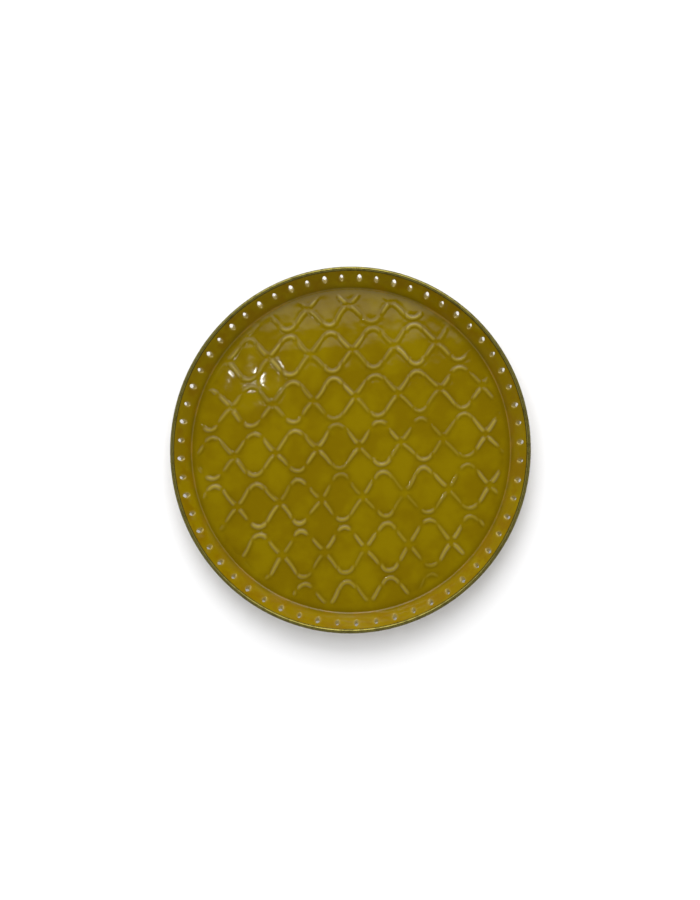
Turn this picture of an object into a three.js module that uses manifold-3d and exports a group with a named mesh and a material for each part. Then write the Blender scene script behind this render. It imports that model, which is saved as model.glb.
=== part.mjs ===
// A hand painted ceramic plate: a flat floor, a low flared wall and a foot ring underneath.
// A row of small pierced holes, large and small in turn, runs round the wall below the lip.
// The clay carries a coat of glaze that also lines the holes, and a lustre band caps the lip.
// Millimetres, +Z up, origin on the table under the middle of the plate.

import * as THREE from 'three';
import * as BufferGeometryUtils from 'three/addons/utils/BufferGeometryUtils.js';
import Module from 'manifold-3d';

const wasm = await Module();
wasm.setup();

// Driving dimensions
const lipRadius = 135;
const outOfRound = 1.0175; // the plate was pulled by hand, so it is longer along Y than along X
const height = 22;
const floorTop = 8;
const floorRadius = 121;
const floorThickness = 5;
const wallThickness = 4.4;
const lipRoundness = 1.7; // radius of the rolled lip, lustre band included
const coatThickness = 0.35;
const bandThickness = 0.35;
const footRadius = 96;
const footWidth = 5;
const footChamfer = 0.8;
const bareMargin = 1.2; // the coat stops this far outside the foot ring
const junctionRadius = 1.8; // hollow curve where the floor turns up into the wall
const holePairs = 29;
const holeDrop = 6.2; // the holes' centres lie this far below the top of the lip
const holeStart = THREE.MathUtils.degToRad(-0.6);
const holeLateness = THREE.MathUtils.degToRad(0.07);
const holeDrift = THREE.MathUtils.degToRad(2.5);
const driftPhase = THREE.MathUtils.degToRad(87);
const holeDip = THREE.MathUtils.degToRad(10); // the tool was held this much nearer level than square to the wall
const holePoint = 1.6; // 2 makes an oval outline, less draws its ends to points
const holeCut = { above: 5, below: 9 }; // how far the cut runs from the wall's inside face
const largeHole = { width: 3.5, length: 6.8 };
const smallHole = { width: 3, length: 5.8 };
const fitGap = 0.08; // left between pieces that touch, so that no two solids overlap
const sides = 60; // facets round the plate
const curveSteps = 3; // facets across the floor's hollow curve and across the belly outside
const lipSteps = 5;
const holeSides = 6;
const weld = 1e-4; // points nearer than this are one point

// Worked out from the dimensions above
const straightDown = -Math.PI / 2;
const undersideOfFloor = floorTop - floorThickness;
const coatEnd = footRadius + footChamfer + bareMargin;
const coatLipRoundness = lipRoundness - bandThickness - fitGap;
const lipCentre = new THREE.Vector2(lipRadius - lipRoundness, height - lipRoundness);
const wallFoot = new THREE.Vector2(floorRadius, floorTop);
const wallSlope = insideWallSlope();
const wallUp = new THREE.Vector2(Math.cos(wallSlope), Math.sin(wallSlope));
const wallInward = new THREE.Vector2(-wallUp.y, wallUp.x); // square to the wall, into the dish
const lipEnd = wallSlope + Math.PI / 2; // where the lip's arc runs into the inside wall
const bellyRadius = junctionRadius + wallThickness;
const bellyCentre = upturnCentre(bellyCorner(), bellyRadius);
const hollowCentre = upturnCentre(wallFoot, junctionRadius);

const clay = new THREE.MeshStandardMaterial({ color: 0xb58c68, roughness: 0.85, metalness: 0 });
const glaze = new THREE.MeshStandardMaterial({ color: 0x7f6605, roughness: 0.18, metalness: 0 });
const lustre = new THREE.MeshStandardMaterial({ color: 0x6a6038, roughness: 0.25, metalness: 1 });

// The wall's inside face is the straight line from the floor's edge that touches the lip's arc.
function insideWallSlope() {
  const reach = lipCentre.clone().sub(wallFoot);
  return reach.angle() + Math.asin(coatLipRoundness / reach.length());
}

// Where the outside wall, carried straight on, would meet the underside of the floor.
function bellyCorner() {
  const behindWallFoot = wallFoot.clone().addScaledVector(wallInward, -wallThickness);
  const climb = (behindWallFoot.y - undersideOfFloor) / wallUp.y;
  return behindWallFoot.addScaledVector(wallUp, -climb);
}

// The centre of the arc that turns up from level to the wall's slope, touching both at their corner.
function upturnCentre(corner, radius) {
  return new THREE.Vector2(corner.x - radius * Math.tan(wallSlope / 2), corner.y + radius);
}

// Points along a circular arc in the profile plane, from one angle to another.
function arcPoints(centre, radius, from, to, steps) {
  const points = [];
  for (let step = 0; step <= steps; step += 1) {
    const angle = THREE.MathUtils.lerp(from, to, step / steps);
    points.push(new THREE.Vector2(Math.cos(angle), Math.sin(angle)).multiplyScalar(radius).add(centre));
  }
  return points;
}

function upturnPoints(centre, radius) {
  return arcPoints(centre, radius, straightDown, straightDown + wallSlope, curveSteps);
}

// The plate's skin set back by a depth: round the belly, over the lip and in to the middle of the floor.
function skinPoints(depth) {
  return [
    ...upturnPoints(bellyCentre, bellyRadius - depth),
    ...arcPoints(lipCentre, coatLipRoundness - depth, 0, lipEnd, lipSteps),
    ...upturnPoints(hollowCentre, junctionRadius + depth).reverse(),
    new THREE.Vector2(0, floorTop - depth)
  ];
}

function footPoints() {
  const inner = footRadius - footWidth;
  return [
    new THREE.Vector2(inner - footChamfer, undersideOfFloor),
    new THREE.Vector2(inner, footChamfer),
    new THREE.Vector2(inner + footChamfer, 0),
    new THREE.Vector2(footRadius - footChamfer, 0),
    new THREE.Vector2(footRadius, footChamfer),
    new THREE.Vector2(footRadius + footChamfer, undersideOfFloor)
  ];
}

// One closed skin: positions only, with the points that coincide made one and no empty triangles.
function welded(geometry) {
  geometry.deleteAttribute('uv');
  geometry.deleteAttribute('normal');
  const merged = BufferGeometryUtils.mergeVertices(geometry, weld);
  const corners = merged.index.array;
  const kept = [];
  for (let first = 0; first < corners.length; first += 3) {
    const [a, b, c] = corners.slice(first, first + 3);
    if (a !== b && b !== c && c !== a) kept.push(a, b, c);
  }
  merged.setIndex(kept);
  return merged;
}

// A solid of revolution about +Z.
function turned(profile) {
  const geometry = welded(new THREE.LatheGeometry(profile, sides));
  geometry.rotateX(Math.PI / 2);
  return geometry;
}

function toSolid(geometry) {
  const vertProperties = new Float32Array(geometry.attributes.position.array);
  const triVerts = new Uint32Array(geometry.index.array);
  return new wasm.Manifold(new wasm.Mesh({ numProp: 3, vertProperties, triVerts }));
}

function toGeometry(solid) {
  const mesh = solid.getMesh();
  const geometry = new THREE.BufferGeometry();
  geometry.setAttribute('position', new THREE.BufferAttribute(mesh.vertProperties, 3));
  geometry.setIndex(new THREE.BufferAttribute(mesh.triVerts, 1));
  return geometry;
}

// Angles were set out by eye, so each small hole sits a little late in its pair
// and the spacing drifts slowly round the plate.
function holeAngle(index) {
  const even = index * Math.PI / holePairs;
  const late = index % 2 ? holeLateness : -holeLateness;
  return holeStart + even + late + holeDrift * Math.sin(even + driftPhase);
}

// A hole's outline on the wall is a lozenge with rounded sides. The tool's section is shorter than
// that, because the tool goes through at a slant.
function holeOutline(size, grow) {
  const halfWidth = size.width / 2 + grow;
  const halfLength = size.length / 2 * Math.cos(holeDip) + grow;
  const corners = [];
  for (let side = 0; side < holeSides; side += 1) {
    const angle = (side / holeSides + 1 / 4) * Math.PI * 2; // the first corner is the upper point
    const cosine = Math.cos(angle);
    const sine = Math.sin(angle);
    const reach = (Math.abs(cosine) ** holePoint + Math.abs(sine) ** holePoint) ** (-1 / holePoint);
    corners.push(new THREE.Vector2(cosine * reach * halfWidth, sine * reach * halfLength));
  }
  return new THREE.Shape(corners);
}

// The tool's X runs round the wall and its Z up out of the hole.
function holeTool(index, grow) {
  const outline = holeOutline(index % 2 ? smallHole : largeHole, grow);
  const depth = holeCut.above + holeCut.below;
  const tool = welded(new THREE.ExtrudeGeometry(outline, { depth, bevelEnabled: false }));
  tool.translate(0, 0, -holeCut.below);
  tool.rotateX(wallSlope + holeDip);
  const alongWall = (height - holeDrop - wallFoot.y) / wallUp.y;
  const seat = wallFoot.clone().addScaledVector(wallUp, alongWall);
  tool.translate(0, seat.x, seat.y);
  tool.rotateZ(holeAngle(index) - Math.PI / 2);
  return toSolid(tool);
}

function pierced(solid, grow) {
  let result = solid;
  for (let index = 0; index < 2 * holePairs; index += 1) {
    result = result.subtract(holeTool(index, grow));
  }
  return result;
}

// The clay, set back under the coat everywhere but at the bare foot ring and underside.
function clayBody() {
  const depth = coatThickness + fitGap;
  const profile = [
    new THREE.Vector2(0, undersideOfFloor),
    ...footPoints(),
    new THREE.Vector2(coatEnd - fitGap, undersideOfFloor),
    new THREE.Vector2(coatEnd - fitGap, undersideOfFloor + depth),
    ...skinPoints(depth)
  ];
  return namedMesh('clay_body', toGeometry(pierced(toSolid(turned(profile)), depth)), clay);
}

// The coat is what is left of the whole plate once a pierced core is taken out of it,
// and it is then pierced again, a little smaller, which leaves its lining in each hole.
function glazeCoat() {
  const whole = toSolid(turned([
    new THREE.Vector2(0, undersideOfFloor),
    new THREE.Vector2(coatEnd, undersideOfFloor),
    ...skinPoints(0)
  ]));
  const core = toSolid(turned([
    new THREE.Vector2(0, 0),
    new THREE.Vector2(coatEnd, 0),
    new THREE.Vector2(coatEnd, undersideOfFloor + coatThickness),
    ...skinPoints(coatThickness)
  ]));
  const coat = pierced(whole.subtract(pierced(core, coatThickness)), 0);
  return namedMesh('glaze_coat', toGeometry(coat), glaze);
}

// The lustre band wraps the lip from its outermost point over the top to the inside wall.
function lipBand() {
  const inner = arcPoints(lipCentre, lipRoundness - bandThickness, 0, lipEnd, lipSteps);
  const outer = arcPoints(lipCentre, lipRoundness, 0, lipEnd, lipSteps);
  const profile = [...outer, ...inner.reverse(), outer[0].clone()];
  return namedMesh('lip_band', turned(profile), lustre);
}

function namedMesh(name, geometry, material) {
  geometry.computeVertexNormals();
  const mesh = new THREE.Mesh(geometry, material);
  mesh.name = name;
  return mesh;
}

const plate = new THREE.Group();
plate.add(clayBody(), glazeCoat(), lipBand());
plate.scale.y = outOfRound;

export default plate;
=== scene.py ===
import math

import bpy
import numpy as np
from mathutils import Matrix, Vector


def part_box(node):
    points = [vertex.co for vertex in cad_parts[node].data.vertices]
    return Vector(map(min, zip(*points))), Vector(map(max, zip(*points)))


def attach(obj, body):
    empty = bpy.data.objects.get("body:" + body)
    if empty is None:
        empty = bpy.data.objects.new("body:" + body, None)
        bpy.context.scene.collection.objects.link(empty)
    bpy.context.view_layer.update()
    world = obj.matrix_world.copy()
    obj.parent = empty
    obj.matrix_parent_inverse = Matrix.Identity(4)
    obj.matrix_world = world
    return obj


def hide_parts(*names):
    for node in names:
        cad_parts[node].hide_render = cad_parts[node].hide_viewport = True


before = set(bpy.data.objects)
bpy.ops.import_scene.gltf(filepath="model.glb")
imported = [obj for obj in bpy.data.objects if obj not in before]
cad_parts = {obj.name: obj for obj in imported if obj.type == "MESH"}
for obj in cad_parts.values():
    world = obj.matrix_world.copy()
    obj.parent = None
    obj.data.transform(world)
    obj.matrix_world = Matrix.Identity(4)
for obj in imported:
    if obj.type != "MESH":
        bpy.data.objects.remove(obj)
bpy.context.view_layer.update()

scene = bpy.context.scene
quarter = math.pi / 2

# what the frame says about the plate's size; the floor's height is the coat's highest point on the axis
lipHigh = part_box("lip_band")[1]
coatPoints = np.array([v.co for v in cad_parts["glaze_coat"].data.vertices])
nearAxis = np.hypot(coatPoints[:, 0], coatPoints[:, 1]) < 0.001

plate = {
    "lipRadius": lipHigh.x,
    "outOfRound": lipHigh.y / lipHigh.x,     # longer along Y than along X
    "top": lipHigh.z,
    "floorTop": float(coatPoints[nearAxis, 2].max()),
    "underside": float(coatPoints[:, 2].min()),
    "floorRadius": 0.121,
    "junctionRadius": 0.0018,                # hollow curve where the floor turns up
    "wallThickness": 0.0044,
    "lipRoundness": 0.0017,                  # lustre band included
    "bandThickness": 0.00014,
    "glazeThickness": 0.00035,
    "clayGap": 0.0001,                       # between the glaze and the clay under it
    "footRadius": 0.096,
    "footWidth": 0.005,
    "footChamfer": 0.0008,
    "bareMargin": 0.0012,                    # the glaze stops this far outside the foot
}

cameraSetup = {
    "height": 0.90,            # above the lip
    "east": 0.062,             # the lens is a little to the right of the middle
    "south": 0.068,            # and a little below it
    "aim": (0.0011, -0.0016),
    "frameHeight": 0.6705,     # how much of the lip's plane the long side takes in
    "lens": 50.0,
    "clip": (0.01, 50.0),
}


def turnTo(thing, place, target):
    # the thing looks from its place at the target along its own -Z, and the plate's +Y stays up in its view
    back = np.array(place, float) - np.array(target, float)
    back /= np.linalg.norm(back)
    right = np.cross([0.0, 1.0, 0.0], back)
    right /= np.linalg.norm(right)
    matrix = np.eye(4)
    matrix[:3, 0] = right
    matrix[:3, 1] = np.cross(back, right)
    matrix[:3, 2] = back
    matrix[:3, 3] = place
    thing.matrix_world = matrix.T.tolist()


def makeCamera():
    c = cameraSetup
    data = bpy.data.cameras.new("plate_camera")
    camera = bpy.data.objects.new("plate_camera", data)
    scene.collection.objects.link(camera)
    place = (c["east"], -c["south"], plate["top"] + c["height"])
    target = (*c["aim"], plate["top"])
    turnTo(camera, place, target)
    data.lens = c["lens"]
    data.sensor_width = c["lens"] * c["frameHeight"] / math.dist(place, target)
    data.clip_start, data.clip_end = c["clip"]
    scene.camera = camera


lights = {
    "window": {"place": (-0.11, 1.15, 0.95), "size": (1.6, 1.2), "power": 21.0},
    "spark": {"place": (-0.245, 0.216, 1.215), "radius": 0.007, "power": 0.36},
}


def addLight(name, kind, power):
    data = bpy.data.lights.new(name, kind)
    data.energy = power
    light = bpy.data.objects.new(name, data)
    scene.collection.objects.link(light)
    light.visible_camera = False
    return light


def makeLights():
    window, spark = lights["window"], lights["spark"]
    light = addLight("window_light", "AREA", window["power"])
    light.data.shape = "RECTANGLE"
    light.data.size, light.data.size_y = window["size"]
    turnTo(light, window["place"], (0.0, 0.0, 0.0))
    light = addLight("spark_light", "POINT", spark["power"])
    light.data.shadow_soft_size = spark["radius"]
    light.location = spark["place"]


# the room as the plate sees it; z of a direction is the sine of its height above the horizon
surroundings = {
    "level": 2.2,
    "overhead": 0.02,                 # left in the dark patch above, where the camera hangs
    "overheadEdge": (0.93, 0.965),    # the patch begins and ends at these cosines from straight up
    "horizonShare": 0.07,             # low down the room is darker
    "horizonEdge": (0.05, 0.40),
    "southShare": 0.60,               # its near side is darker than the far side
    "southEdge": (0.10, 0.70),
    "sideShare": 0.65,                # so are the two sides
    "sideEdge": (0.25, 0.80),
    "glow": 2.6,                      # a bright strip of ceiling that runs away to the north
    "glowStart": (0.165, 0.195),
    "glowMiddle": -0.07,
    "glowHalf": (0.09, 0.15),
}


def ramp(tree, source, low, high):
    # 0 where the source is below low, 1 where it is above high, with a smooth climb between
    node = tree.nodes.new("ShaderNodeMapRange")
    node.interpolation_type = "SMOOTHSTEP"
    node.inputs["From Min"].default_value = low
    node.inputs["From Max"].default_value = high
    tree.links.new(source, node.inputs["Value"])
    return node.outputs["Result"]


def calc(tree, operation, first, second):
    # one step of arithmetic on numbers or sockets; ABSOLUTE takes only the first
    node = tree.nodes.new("ShaderNodeMath")
    node.operation = operation
    for socket, value in zip(node.inputs, (first, second)):
        if isinstance(value, (int, float)):
            socket.default_value = value
        else:
            tree.links.new(value, socket)
    return node.outputs[0]


def makeWorld():
    # The level falls towards the horizon, the south and the sides, and gives way to the dark patch
    # overhead; the strip of ceiling is then added.
    s = surroundings
    world = bpy.data.worlds.new("pale_room")
    scene.world = world
    world.use_nodes = True
    tree = world.node_tree
    tree.nodes.clear()
    coord = tree.nodes.new("ShaderNodeTexCoord")
    split = tree.nodes.new("ShaderNodeSeparateXYZ")
    tree.links.new(coord.outputs["Generated"], split.inputs[0])
    x, y, z = split.outputs
    overhead = ramp(tree, z, *s["overheadEdge"])
    horizon = calc(tree, "MULTIPLY", ramp(tree, z, *s["horizonEdge"]), 1.0 - s["horizonShare"])
    horizon = calc(tree, "ADD", horizon, s["horizonShare"])
    level = calc(tree, "MULTIPLY", horizon, s["level"])
    darker = {"south": calc(tree, "MULTIPLY", y, -1.0), "side": calc(tree, "ABSOLUTE", x, 0.0)}
    for name, way in darker.items():
        loss = calc(tree, "MULTIPLY", ramp(tree, way, *s[name + "Edge"]), 1.0 - s[name + "Share"])
        level = calc(tree, "MULTIPLY", level, calc(tree, "SUBTRACT", 1.0, loss))
    level = calc(tree, "MULTIPLY", level, calc(tree, "SUBTRACT", 1.0, overhead))
    level = calc(tree, "ADD", level, s["overhead"])
    aside = calc(tree, "ABSOLUTE", calc(tree, "SUBTRACT", x, s["glowMiddle"]), 0.0)
    strip = calc(tree, "SUBTRACT", 1.0, ramp(tree, aside, *s["glowHalf"]))
    glow = calc(tree, "MULTIPLY", calc(tree, "MULTIPLY", strip, ramp(tree, y, *s["glowStart"])), horizon)
    level = calc(tree, "ADD", level, calc(tree, "MULTIPLY", glow, s["glow"]))
    background = tree.nodes.new("ShaderNodeBackground")
    output = tree.nodes.new("ShaderNodeOutputWorld")
    tree.links.new(level, background.inputs["Strength"])
    tree.links.new(background.outputs[0], output.inputs["Surface"])
    scene.view_settings.view_transform = "Standard"


makeCamera()
makeLights()
makeWorld()
print("camera, lights and room made")


# The plate's profile: pairs of distance from the middle and height. A depth sets the skin back.
coatLip = plate["lipRoundness"] - plate["bandThickness"]
lipCentre = np.array([plate["lipRadius"], plate["top"]]) - plate["lipRoundness"]
wallFoot = np.array([plate["floorRadius"], plate["floorTop"]])
reach = lipCentre - wallFoot
slope = math.atan2(reach[1], reach[0]) + math.asin(coatLip / math.hypot(*reach))
wallUp = np.array([math.cos(slope), math.sin(slope)])
wallInward = np.array([-wallUp[1], wallUp[0]])
lipBack = -0.3                                # the lip's round ends here on the outside, a bit under level
coatEnd = plate["footRadius"] + plate["footChamfer"] + plate["bareMargin"]


def arc(centre, radius, start, end, count):
    # centre plus radius times (cosine, sine) of an angle that runs from start to end
    angle = np.linspace(start, end, count)
    return np.stack([centre[0] + radius * np.cos(angle), centre[1] + radius * np.sin(angle)], axis=1)


def line(start, end, count):
    # start times one less the share, plus end times the share, for even shares from 0 to 1
    share = np.linspace(0.0, 1.0, count)[:, None]
    return np.asarray(start) * (1 - share) + np.asarray(end) * share


def upturnCentre(corner, radius):
    # the centre of the arc that touches level ground and the slope at their corner
    return np.array([corner[0] - radius * math.tan(slope / 2), corner[1] + radius])


hollowCentre = upturnCentre(wallFoot, plate["junctionRadius"])
floorRim = hollowCentre[0]
behindFoot = wallFoot - plate["wallThickness"] * wallInward
bellyCorner = behindFoot - (behindFoot[1] - plate["underside"]) / wallUp[1] * wallUp
bellyRadius = plate["junctionRadius"] + plate["wallThickness"]
bellyCentre = upturnCentre(bellyCorner, bellyRadius)


def onWall(along, depth):
    # a point so far up the inside wall and so deep in it
    along = np.asarray(along, float)[..., None]
    depth = np.asarray(depth, float)[..., None]
    return wallFoot + along * wallUp - depth * wallInward


def outsideDepth(depth):
    # the outside wall's depth at along 0, and what it gains per metre up the wall
    lower = arc(bellyCentre, bellyRadius - depth, slope - quarter, 0, 2)[0] - wallFoot
    upper = arc(lipCentre, coatLip - depth, lipBack, 0, 2)[0] - wallFoot
    gain = (lower - upper) @ wallInward / ((upper - lower) @ wallUp)
    return -lower @ wallInward - gain * (lower @ wallUp), gain


# the pierced holes, set out by eye, so that spacing and size wander a little
holes = {
    "pairs": 29,
    "drop": 0.0062,                # centres below the top of the lip
    "start": math.radians(-0.6),
    "lateness": math.radians(0.07),
    "drift": math.radians(2.5),
    "driftPhase": math.radians(87),
    "dip": math.radians(10),       # the tool was held this much nearer level than square to the wall
    "pointed": 1.6,                # 2 is an oval, less draws the ends to points
    "large": (0.0035, 0.0068),     # width and length on the wall
    "small": (0.0030, 0.0058),
    "rimRound": 0.0004,
    "stripHalf": 0.0052,           # the holes' strip of wall reaches this far either side of their centres
    "wander": 0.00012,             # most that a width or a length is out by
    "crowding": 1.4,               # above 1 draws the rings on the wall in towards the hole
    "rimThin": 0.12,               # thinness of the glaze where the rim starts to turn in; 1 in the hole
}
skinFacets = {"upturn": 3, "lip": 5}    # facets round each curve of the profile, times the detail
weldPerMetre = 1e7                      # points that agree to this fine a grid are one point
sharpAngle = math.radians(50)           # edges that turn by more than this stay crisp
holeCount = 2 * holes["pairs"]
holeAlong = (plate["top"] - holes["drop"] - wallFoot[1]) / wallUp[1]
holeIndex = np.arange(holeCount)
holeEven = holeIndex * math.pi / holes["pairs"]
holeLate = np.where(holeIndex % 2, holes["lateness"], -holes["lateness"])
holeAngles = holes["start"] + holeEven + holeLate + holes["drift"] * np.sin(holeEven + holes["driftPhase"])
sectorEnds = np.append(holeAngles[-1] - 2 * math.pi, holeAngles)
sectorEnds = (sectorEnds + np.append(holeAngles, holeAngles[0] + 2 * math.pi)) / 2


def gridFaces(rows, columns, ringed=False):
    # quads between neighbouring rows, each row closed on itself; ringed also joins the last row to the first
    row = np.arange(rows if ringed else rows - 1)[:, None]
    here = np.arange(columns)[None, :]
    there = (here + 1) % columns
    above = (row + 1) % rows
    quads = [row * columns + here, above * columns + here, above * columns + there, row * columns + there]
    return np.stack(quads, axis=-1).reshape(-1, 4)


def turned(profile, angles, ringed=False):
    # each profile point (r, z) swept round: (r cos a, r sin a, z), with a fourth column for the rim value
    profile = np.asarray(profile)
    r, z = [column[:, None] * np.ones(len(angles)) for column in profile.T]
    points = np.stack([r * np.cos(angles), r * np.sin(angles), z, np.zeros_like(r)], axis=-1)
    return points.reshape(-1, 4), gridFaces(len(profile), len(angles), ringed)


def joined(patches):
    # all patches as one surface, in which points that coincide are one point
    points = np.concatenate([patch[0] for patch in patches])
    starts = np.cumsum([0] + [len(patch[0]) for patch in patches[:-1]])
    faces = np.concatenate([patch[1] + start for patch, start in zip(patches, starts)])
    keys = np.round(points[:, :3] * weldPerMetre).astype(np.int64)
    firsts, places = np.unique(keys, axis=0, return_index=True, return_inverse=True)[1:]
    return points[firsts], places.reshape(-1)[faces]


def squareRing(perHole, perSide):
    # the outline of the square from -1 to 1, anticlockwise from its lower left corner
    level = np.linspace(-1, 1, perHole, endpoint=False)
    upright = np.linspace(-1, 1, perSide, endpoint=False)
    px = np.concatenate([level, np.ones(perSide), -level, -np.ones(perSide)])
    py = np.concatenate([-np.ones(perHole), upright, np.ones(perHole), -upright])
    return px, py


def holePatch(index, depth, perHole, perSide, detail):
    # A hole and its piece of the wall's strip, as rings: from the strip's edge in to the hole, round its rim,
    # through the wall, round the far rim, and out to the strip's edge on the outside. The hole's outline is
    # a superellipse: |x| to the power q and |y| to the power q add up to 1.
    h = holes
    width, length = h["small"] if index % 2 else h["large"]
    width += h["wander"] * math.sin(2.4 * index) + 2 * depth
    length += h["wander"] * math.sin(3.9 * index) + 2 * depth
    px, py = squareRing(perHole, perSide)
    bearing = np.arctan2(py, px)
    q = h["pointed"]
    unit = (np.abs(np.cos(bearing)) ** q + np.abs(np.sin(bearing)) ** q) ** (-1 / q)
    edgeAngle = sectorEnds[index] + (px + 1) / 2 * (sectorEnds[index + 1] - sectorEnds[index])
    edgeAlong = holeAlong + py * h["stripHalf"]
    base, gain = outsideDepth(depth)
    tilt = math.tan(h["dip"])
    seatRadius = onWall(holeAlong, 0.0)[0]
    rimRound = h["rimRound"] if detail > 1 else 0.0
    turns = np.linspace(0, quarter, detail + 2) if detail > 1 else [0.0]

    def outline(grow, deep):
        x = np.cos(bearing) * unit * (width / 2 + grow)
        y = np.sin(bearing) * unit * (length / 2 + grow)
        return holeAngles[index] + x / seatRadius, holeAlong + y + deep * tilt

    def ring(angle, along, deep, rim):
        r, z = onWall(along, deep).T
        return np.stack([r * np.cos(angle), r * np.sin(angle), z, np.full_like(r, rim)], axis=1)

    def rimRing(turn, deep):
        thin = h["rimThin"] + (1 - h["rimThin"]) * (turn / quarter) ** 2
        return ring(*outline(rimRound * (1 - math.sin(turn)), deep), deep, thin)

    def wallRing(share, rimAngle, rimAlong, outside):
        angle = rimAngle + (edgeAngle - rimAngle) * share
        along = rimAlong + (edgeAlong - rimAlong) * share
        deep = base + gain * along if outside else np.full_like(along, depth)
        return ring(angle, along, deep, 0.0)

    farDepth = (base + gain * outline(0.0, 0.0)[1]) / (1 - gain * tilt)     # where the hole meets the outside
    shares = np.linspace(0, 1, detail + 1)[1:] ** h["crowding"]
    rings = [wallRing(share, *outline(rimRound, depth), False) for share in shares[::-1]]
    sunk = [rimRound * (1 - math.cos(turn)) for turn in turns]
    rings += [rimRing(turn, np.full_like(bearing, depth + down)) for turn, down in zip(turns, sunk)]
    for share in np.linspace(0, 1, detail + 1)[1:-1]:
        deep = depth + rimRound + (farDepth - depth - 2 * rimRound) * share
        rings.append(rimRing(quarter, deep))
    rings += [rimRing(turn, farDepth - down) for turn, down in zip(turns[::-1], sunk[::-1])]
    rings += [wallRing(share, *outline(rimRound, farDepth), True) for share in shares]
    return np.concatenate(rings), gridFaces(len(rings), len(bearing))


def skin(depth, perHole, perSide, detail):
    # the pierced skin from the floor's rim up the wall, over the lip and down the outside to the glaze's end
    angles = [np.linspace(*sectorEnds[i:i + 2], perHole, endpoint=False) for i in range(holeCount)]
    angles = np.concatenate(angles)
    low, high = holeAlong - holes["stripHalf"], holeAlong + holes["stripHalf"]
    base, gain = outsideDepth(depth)
    upturn = skinFacets["upturn"] * detail + 1
    hollow = arc(hollowCentre, plate["junctionRadius"] + depth, -quarter, slope - quarter, upturn)
    inside = np.concatenate([hollow, line(hollow[-1], onWall(low, depth), detail + 1)[1:]])
    lip = arc(lipCentre, coatLip - depth, slope + quarter, lipBack, skinFacets["lip"] * detail + 1)
    over = np.concatenate([[onWall(high, depth)], lip, [onWall(high, base + gain * high)]])
    belly = arc(bellyCentre, bellyRadius - depth, slope - quarter, -quarter, upturn)
    upper = line(onWall(low, base + gain * low), belly[0], detail + 1)[:-1]
    under = line(belly[-1], (coatEnd, plate["underside"] + depth), detail + 1)[1:]
    outside = np.concatenate([upper, belly, under])
    patches = [turned(profile, angles) for profile in (inside, over, outside)]
    patches += [holePatch(i, depth, perHole, perSide, detail) for i in range(holeCount)]
    return patches, angles, inside[0], outside[-1]


def makeMesh(name, points, faces):
    # y is stretched here, because the plate is out of round; a corner that comes twice in a face is dropped
    points = np.array(points[:, :3], float)
    points[:, 1] *= plate["outOfRound"]
    corners = [list(dict.fromkeys(face)) for face in np.asarray(faces).tolist()]
    mesh = bpy.data.meshes.new(name)
    mesh.from_pydata(points.tolist(), [], corners)
    mesh.polygons.foreach_set("use_smooth", np.ones(len(mesh.polygons), bool))
    mesh.set_sharp_from_angle(angle=sharpAngle)
    mesh.update()
    piece = bpy.data.objects.new(name, mesh)
    scene.collection.objects.link(piece)
    return piece


def addAttribute(piece, name, values):
    attribute = piece.data.attributes.new(name, "FLOAT", "POINT")
    attribute.data.foreach_set("value", np.asarray(values, np.float32))


rng = np.random.default_rng(29)
waves = {"count": 14, "sizes": (0.75, 1.5), "peak": 1.6}    # sizes are shares of the size asked for


def waveNoise(x, y, size):
    # the sum of plane waves of about that size, each with its own heading and phase, brought to about -1 to 1
    total = np.zeros_like(x)
    for _ in range(waves["count"]):
        heading, phase = rng.uniform(0, 2 * math.pi, 2)
        k = 2 * math.pi / (size * rng.uniform(*waves["sizes"]))
        total += np.sin(k * (x * math.cos(heading) + y * math.sin(heading)) + phase)
    return total / math.sqrt(waves["count"] / 2) / waves["peak"]


def smooth(value, low, high):
    # 0 below low, 1 above high, with a smooth climb between
    share = np.clip((value - low) / (high - low), 0, 1)
    return share * share * (3 - 2 * share)


def bell(gap, half):
    # 1 at no gap, and falls off as e to the power of minus half the square of gap over half
    return np.exp(-0.5 * (gap / half) ** 2)


def chance(i, j, k):
    # a fixed number from 0 to 1 for each stroke: the fraction of a large multiple of a sine
    return np.mod(np.sin(i * 12.9898 + j * 78.233 + k * 37.719) * 43758.5453, 1.0)


def within(ends, stroke, draw):
    # a value between the two ends, fixed for each stroke
    return ends[0] + (ends[1] - ends[0]) * chance(*stroke, draw)


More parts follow.
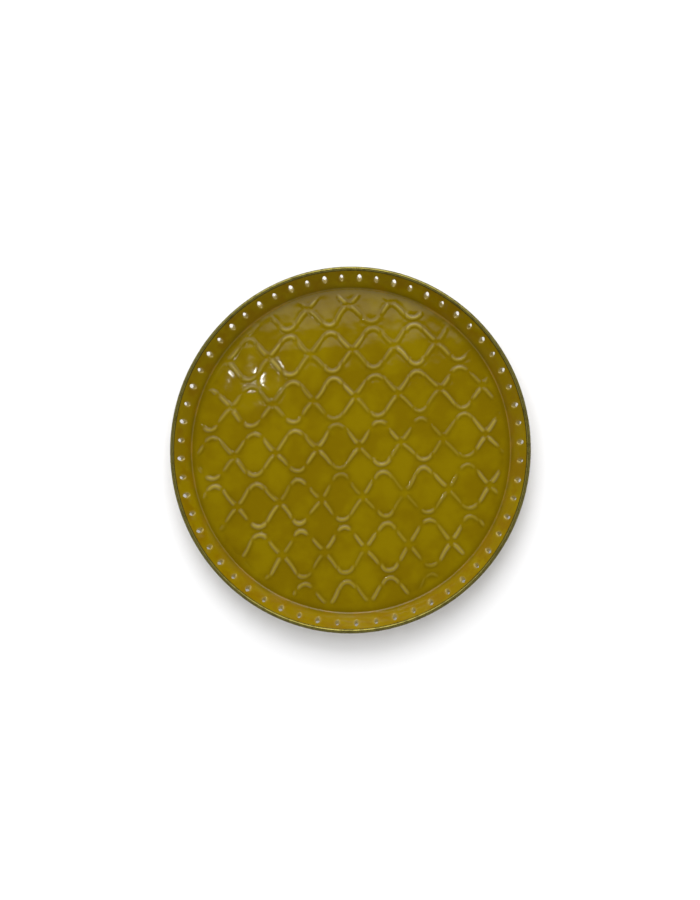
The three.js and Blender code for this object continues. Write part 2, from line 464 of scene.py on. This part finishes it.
pattern = {
    "across": 0.0320,                # from one crossing to the next along a row
    "along": 0.0376,                 # from one row to the next
    "turn": math.radians(4.82),
    "lean": math.radians(4.09),      # of the line through crossings of neighbouring rows
    "crossing": (0.00715, 0.00266),
    "bow": 0.0006,                   # the rows draw in by this much times their number squared
    "swing": 0.0160,                 # how far a crest stands from its row
    "crestRadius": 0.0060,
    "crestAcross": (-0.00055, 0.00055),    # a crest is out by so much along its row
    "crestAway": (-0.0006, 0.0006),        # and by so much from its row
    "crestEnd": (1.05, 1.70),        # it is drawn to this many times the arms' slope either side of its top
    "crestFade": (0.45, 0.30),       # and fades over these angles before and after
    "crestStrength": (0.65, 1.10),
    "armSlope": math.radians(50.5),
    "armFlat": 0.82,                 # an arm starts with this share of that slope
    "armSteepen": 33.0,              # and steepens by this much per metre
    "armAside": (-0.0004, 0.0004),
    "armStrength": (0.62, 1.10),
    "armStart": (0.0010, 0.0045),    # how far from the crossing a stroke begins
    "armLength": (0.0120, 0.0175),
    "strokeEnd": 0.0030,
    "valley": 0.0011,                # near the crossing the strokes stand this far off its row
    "ridgeHalf": 0.00094,
    "ridgeHeight": 0.00050,
    "poolHalf": 0.0022,
    "poolDepth": 0.00012,
    "edgeFade": (0.1135, 0.1180),    # the pattern dies away between these distances from the middle
    "cornerShade": 0.0022,            # painted shade: the glaze is darkened this far out from the corner under the wall
    "wander": 0.0006,                # the whole net strays by about this much
    "wanderSize": 0.034,             # over patches of this size
    "evenness": 0.92,                # a ridge's mean strength, patchy by the next value
    "patchiness": 0.2,
    "patchSize": 0.05,
    "ripple": 0.00004,               # slow waves in the glaze between the ridges
    "rippleSize": 0.02,
}


def crestStroke(tx, ty, lens):
    # the round top of a lens: its gap from the circle, and how strongly it is drawn there
    p = pattern
    cx = tx - within(p["crestAcross"], lens, 1)
    cy = ty - p["swing"] + p["crestRadius"] - within(p["crestAway"], lens, 2)
    bearing = np.abs(np.arctan2(cx, cy))
    end = p["armSlope"] * within(p["crestEnd"], lens, 3)
    before, after = p["crestFade"]
    hold = (1 - smooth(bearing, end - before, end + after)) * within(p["crestStrength"], lens, 4)
    return np.abs(np.hypot(cx, cy) - p["crestRadius"]), hold


def armStroke(tx, ty, arm):
    # a nearly straight stroke from near a crossing: its gap from the line, and how strongly it is drawn there
    p = pattern
    sine, cosine = math.sin(p["armSlope"]), math.cos(p["armSlope"])
    fromEnd = p["across"] / 2 - np.abs(tx)
    steepness = p["armFlat"] * sine / cosine + p["armSteepen"] * fromEnd
    rise = np.hypot(fromEnd * steepness, p["valley"])
    gap = np.abs((ty - rise) * cosine - within(p["armAside"], arm, 5))
    run = fromEnd * cosine + ty * sine
    stop = within(p["armLength"], arm, 6)
    hold = smooth(run, *p["armStart"]) * (1 - smooth(run, stop - p["strokeEnd"], stop + p["strokeEnd"]))
    return gap, hold * within(p["armStrength"], arm, 7)


def embossing(x, y):
    # Lens shapes lie end to end in rows. Each has a round crest above and below its row and straight arms
    # from the crests towards the crossings at its ends, drawn by hand, so each stroke has its own strength.
    p = pattern
    wx = x - p["crossing"][0] + p["wander"] * waveNoise(x, y, p["wanderSize"])
    wy = y - p["crossing"][1] + p["wander"] * waveNoise(x, y, p["wanderSize"])
    acrossX, acrossY = p["across"] * math.cos(p["turn"]), p["across"] * math.sin(p["turn"])
    alongX, alongY = -p["along"] * math.sin(p["lean"]), p["along"] * math.cos(p["lean"])
    area = acrossX * alongY - acrossY * alongX
    u = (wx * alongY - wy * alongX) / area
    v = (wy * acrossX - wx * acrossY) / area
    v = v + p["bow"] * v * v / p["along"]
    column, row = np.floor(u), np.round(v)
    side = np.where(v >= row, 1.0, -1.0)
    tx = (u - column - 0.5) * p["across"]
    ty = np.abs(v - row) * p["along"]
    right = tx > 0
    crestGap, crestHold = crestStroke(tx, ty, (column, row * 2 + side))
    armGap, armHold = armStroke(tx, ty, (column + right, row * 7 + side * 2 + np.where(right, 1.0, -1.0)))
    edge = 1 - smooth(np.hypot(x, y / plate["outOfRound"]), *p["edgeFade"])
    ridge = np.maximum(bell(crestGap, p["ridgeHalf"]) * crestHold, bell(armGap, p["ridgeHalf"]) * armHold)
    ridge *= edge * (p["evenness"] + p["patchiness"] * waveNoise(x, y, p["patchSize"]))
    pool = np.maximum(bell(crestGap, p["poolHalf"]) * crestHold, bell(armGap, p["poolHalf"]) * armHold) * edge
    height = p["ridgeHeight"] * ridge - p["poolDepth"] * pool
    height += p["ripple"] * waveNoise(x, y, p["rippleSize"]) * edge
    # the corner band is painted shade: the glaze darkens towards the corner under the wall, where shade
    # falls, and joins the pools
    corner = bell(np.hypot(x, y / plate["outOfRound"]) - plate["floorRadius"], p["cornerShade"])
    return height, ridge, np.maximum(pool, corner)


floorGlaze = {"grid": 300}    # cells along each side of the grid


def evenDisc(count):
    # A square grid pressed into a unit disc with cells of one area: the larger coordinate becomes
    # the distance out, and the ratio of the two the angle.
    side = np.linspace(-1, 1, count + 1)
    a, b = np.meshgrid(side, side, indexing="ij")
    wide = np.abs(a) >= np.abs(b)
    tiny = 1e-12                                       # keeps the middle from being divided by nothing
    safeA = np.where(np.abs(a) < tiny, 1.0, a)
    safeB = np.where(np.abs(b) < tiny, 1.0, b)
    r = np.where(wide, a, b)
    angle = np.where(wide, math.pi / 4 * b / safeA, quarter - math.pi / 4 * a / safeB)
    return (r * np.cos(angle)).ravel(), (r * np.sin(angle)).ravel()


def makeFloorGlaze():
    # the disc raised by the embossing, a short wall down from its rim, and a fan that closes it underneath
    n = floorGlaze["grid"]
    x, y = evenDisc(n)
    x, y = x * floorRim, y * floorRim
    height, ridge, pool = embossing(x, y * plate["outOfRound"])
    top = np.stack([x, y, plate["floorTop"] + height], axis=1)
    k = np.arange(n)
    rim = np.concatenate([n * (n + 1) + k, (n - k) * (n + 1) + n, n - k, k * (n + 1)])   # anticlockwise
    under = top[rim]
    under[:, 2] = plate["floorTop"] - plate["glazeThickness"]
    middle = [[0, 0, plate["floorTop"] - plate["glazeThickness"]]]
    corner = (k[:, None] * (n + 1) + k[None, :]).ravel()
    low = len(top) + np.arange(len(rim))
    nextLow, nextRim = np.roll(low, -1), np.roll(rim, -1)
    centre = np.full_like(low, len(top) + len(rim))
    faces = [
        np.stack([corner, corner + n + 1, corner + n + 2, corner + 1], axis=1),
        np.stack([rim, low, nextLow, nextRim], axis=1),
        np.stack([nextLow, low, centre, centre], axis=1),
    ]
    piece = makeMesh("floor_glaze", np.concatenate([top, under, middle]), np.concatenate(faces))
    # the pool values carry the pools by the ridges and the painted shade by the corner
    addAttribute(piece, "ridge", np.pad(ridge, (0, len(rim) + 1)))
    addAttribute(piece, "pool", np.pad(pool, (0, len(rim) + 1)))
    return piece


# facets round the plate for each hole, facets up the holes' strip, and fineness along the profile
wallGlaze = {"perHole": 10, "perSide": 9, "detail": 3}


def makeWallGlaze():
    # a closed coat: the skin, the same skin set back and turned inside out, and a strip along each end
    w = wallGlaze
    front, angles, frontStart, frontEnd = skin(0.0, w["perHole"], w["perSide"], w["detail"])
    back, _, backStart, backEnd = skin(plate["glazeThickness"], w["perHole"], w["perSide"], 1)
    back = [(points, faces[:, ::-1]) for points, faces in back]
    ends = [turned(pair, angles) for pair in ((frontEnd, backEnd), (backStart, frontStart))]
    points, faces = joined(front + back + ends)
    piece = makeMesh("wall_glaze", points, faces)
    addAttribute(piece, "rim", points[:, 3])
    # on the wall the pool values are only painted shade, darkest at the corner under the wall
    outward = np.hypot(points[:, 0], points[:, 1]) - plate["floorRadius"]
    fromCorner = np.hypot(outward, points[:, 2] - plate["floorTop"])
    addAttribute(piece, "pool", bell(fromCorner, pattern["cornerShade"]))
    return piece


clay = {"perHole": 5, "perSide": 5, "roundness": 4}


def makeClay():
    # the same skin set back under the glaze, closed by the floor above and the foot ring and underside below
    depth = plate["glazeThickness"] + plate["clayGap"]
    patches, angles, start, end = skin(depth, clay["perHole"], clay["perSide"], 1)
    low, chamfer = plate["underside"], plate["footChamfer"]
    outer, inner = plate["footRadius"], plate["footRadius"] - plate["footWidth"]
    back = coatEnd - plate["clayGap"]
    foot = np.concatenate([
        [end, (back, low + depth), (back, low), (outer + chamfer, low)],
        arc((outer - chamfer, chamfer), chamfer, 0, -quarter, clay["roundness"]),
        arc((inner + chamfer, chamfer), chamfer, -quarter, -math.pi, clay["roundness"]),
        [(inner - chamfer, low), (0.0, low)],
    ])
    floor = [(0.0, plate["floorTop"] - depth), start]
    return makeMesh("fired_body", *joined(patches + [turned(foot, angles), turned(floor, angles)]))


# the overlap is the angle by which the band runs on past the lip's round, down the inside wall
lipBand = {"around": 720, "overlap": 0.30, "steps": 24, "sunk": 0.00002}


def makeLipBand():
    # a thin strip bent round the lip, from a little down the inside wall to just under the outermost point,
    # with its inner face sunk a little in the glaze
    b = lipBand
    start, end = slope + quarter + b["overlap"], lipBack / 2
    outer = arc(lipCentre, plate["lipRoundness"], start, end, b["steps"])
    inner = arc(lipCentre, coatLip - b["sunk"], end, start, b["steps"])
    angles = np.arange(b["around"]) * 2 * math.pi / b["around"]
    return makeMesh("lip_lustre", *turned(np.concatenate([outer, inner]), angles, ringed=True))


def newMaterial(name):
    material = bpy.data.materials.new(name)
    material.use_nodes = True
    tree = material.node_tree
    coord = tree.nodes.new("ShaderNodeTexCoord").outputs["Object"]
    return material, tree, tree.nodes["Principled BSDF"], coord


def noiseNode(tree, coord, scale, detail=4.0, rough=0.55):
    node = tree.nodes.new("ShaderNodeTexNoise")
    node.inputs["Scale"].default_value = scale
    node.inputs["Detail"].default_value = detail
    node.inputs["Roughness"].default_value = rough
    tree.links.new(coord, node.inputs["Vector"])
    return node.outputs["Fac"]


def blend(tree, share, first, second):
    # first where share is 0, second where it is 1; the node's colour sockets are inputs 6 and 7 and output 2
    node = tree.nodes.new("ShaderNodeMix")
    node.data_type = "RGBA"
    for socket, value in ((node.inputs[6], first), (node.inputs[7], second)):
        if isinstance(value, tuple):
            socket.default_value = (*value, 1.0)
        else:
            tree.links.new(value, socket)
    tree.links.new(share, node.inputs[0])
    return node.outputs[2]


def attributeNode(tree, name, strength):
    node = tree.nodes.new("ShaderNodeAttribute")
    node.attribute_name = name
    return calc(tree, "MULTIPLY", node.outputs["Fac"], strength)


def addBump(tree, shader, height, strength, distance):
    bump = tree.nodes.new("ShaderNodeBump")
    bump.inputs["Strength"].default_value = strength
    bump.inputs["Distance"].default_value = distance
    tree.links.new(height, bump.inputs["Height"])
    tree.links.new(bump.outputs["Normal"], shader.inputs["Normal"])


glazeLook = {
    "thin": (0.262, 0.200, 0.022),     # on the ridges, where the clay shows through
    "lining": (0.390, 0.315, 0.110),   # in the holes, where it is thinner still
    "usual": (0.122, 0.080, 0.0004),
    "deep": (0.078, 0.050, 0.0002),
    # the deep tone is pooled glaze by the ridges, and painted shade near the corner under the wall
    "bright": (0.147, 0.103, 0.0005),
    "wall": (0.160, 0.105, 0.0004),
    "wallBright": (0.183, 0.128, 0.0004),
    "brown": (0.145, 0.082, 0.0004),
    "roughness": 0.05,
    "specular": 0.20,
    "cloudScale": 38.0,
    "cloudEdge": (0.38, 0.66),
    "poolAndShadeShare": 0.7,                  # how much of the deep tone a pool by the ridges takes on, and the painted shade by the corner
    "ridgeEdge": (0.1, 1.1),
    "ridgeShare": 0.62,
    "patchScale": 75.0,                # browner patches on the wall
    "patchEdge": (0.42, 0.64),
    "patchShare": 0.8,
    "rimShare": 0.9,
    "rippleScale": 105.0,
    "rippleStrength": 0.07,
    "rippleHeight": 0.001,
}


def glazeMaterial(name, embossed):
    g = glazeLook
    material, tree, shader, coord = newMaterial(name)
    cloud = ramp(tree, noiseNode(tree, coord, g["cloudScale"], 3.0), *g["cloudEdge"])
    tones = ("usual", "bright") if embossed else ("wall", "wallBright")
    colour = blend(tree, cloud, *[g[tone] for tone in tones])
    # pooled glaze by the ridges, and painted shade by the corner under the wall, blend towards the deep tone
    colour = blend(tree, attributeNode(tree, "pool", g["poolAndShadeShare"]), colour, g["deep"])
    if embossed:
        ridge = ramp(tree, attributeNode(tree, "ridge", 1.0), *g["ridgeEdge"])
        thin = calc(tree, "MULTIPLY", ridge, g["ridgeShare"])
    else:
        patch = ramp(tree, noiseNode(tree, coord, g["patchScale"], 3.0), *g["patchEdge"])
        colour = blend(tree, calc(tree, "MULTIPLY", patch, g["patchShare"]), colour, g["brown"])
        thin = attributeNode(tree, "rim", g["rimShare"])
    colour = blend(tree, thin, colour, g["thin" if embossed else "lining"])
    tree.links.new(colour, shader.inputs["Base Color"])
    shader.inputs["Roughness"].default_value = g["roughness"]
    shader.inputs["Specular IOR Level"].default_value = g["specular"]
    ripple = noiseNode(tree, coord, g["rippleScale"], 1.0)
    addBump(tree, shader, ripple, g["rippleStrength"], g["rippleHeight"])
    return material


clayLook = {
    "dark": (0.40, 0.235, 0.13),
    "pale": (0.62, 0.42, 0.26),
    "roughness": 0.85,
    "grainScale": 900.0,
    "grainStrength": 0.5,
    "grainHeight": 0.0004,
}


def clayMaterial():
    c = clayLook
    material, tree, shader, coord = newMaterial("bare_clay")
    grain = noiseNode(tree, coord, c["grainScale"], 6.0, 0.7)
    tree.links.new(blend(tree, grain, c["dark"], c["pale"]), shader.inputs["Base Color"])
    shader.inputs["Roughness"].default_value = c["roughness"]
    addBump(tree, shader, grain, c["grainStrength"], c["grainHeight"])
    return material


lustreLook = {
    "whole": (0.116, 0.099, 0.018),
    "worn": (0.062, 0.051, 0.008),
    "wearScale": 260.0,
    "wearEdge": (0.42, 0.72),
    "metallic": 0.85,
    "roughness": 0.20,
    "wornRoughness": 0.15,             # added where the lustre is worn
    "scratchScale": 700.0,
    "scratchStrength": 0.15,
    "scratchHeight": 0.0003,
}


def lustreMaterial():
    b = lustreLook
    material, tree, shader, coord = newMaterial("worn_lustre")
    wear = ramp(tree, noiseNode(tree, coord, b["wearScale"], 5.0), *b["wearEdge"])
    tree.links.new(blend(tree, wear, b["whole"], b["worn"]), shader.inputs["Base Color"])
    shader.inputs["Metallic"].default_value = b["metallic"]
    rough = calc(tree, "ADD", calc(tree, "MULTIPLY", wear, b["wornRoughness"]), b["roughness"])
    tree.links.new(rough, shader.inputs["Roughness"])
    scratches = noiseNode(tree, coord, b["scratchScale"], 3.0)
    addBump(tree, shader, scratches, b["scratchStrength"], b["scratchHeight"])
    return material


def settle(piece, material, node):
    piece.data.materials.append(material)
    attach(piece, "root")
    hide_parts(node)
    print(piece.name, "made,", len(piece.data.polygons), "faces")


settle(makeFloorGlaze(), glazeMaterial("floor_olive", True), "glaze_coat")
settle(makeWallGlaze(), glazeMaterial("wall_olive", False), "glaze_coat")
settle(makeClay(), clayMaterial(), "clay_body")
settle(makeLipBand(), lustreMaterial(), "lip_band")


ground = {
    "half": 20.0,
    "tones": ((0.69, 0.69, 0.695), (0.71, 0.71, 0.715)),
    "cloudScale": 2.0,
    "roughness": 0.9,
}


def makeGround():
    half = ground["half"]
    points = np.array([[-half, -half, 0], [half, -half, 0], [half, half, 0], [-half, half, 0]])
    piece = makeMesh("pale_ground", points, [[0, 1, 2, 3]])
    material, tree, shader, coord = newMaterial("pale_paper")
    tone = blend(tree, noiseNode(tree, coord, ground["cloudScale"], 2.0), *ground["tones"])
    tree.links.new(tone, shader.inputs["Base Color"])
    shader.inputs["Roughness"].default_value = ground["roughness"]
    shader.inputs["Specular IOR Level"].default_value = 0.0
    piece.data.materials.append(material)


makeGround()
print("ground made")
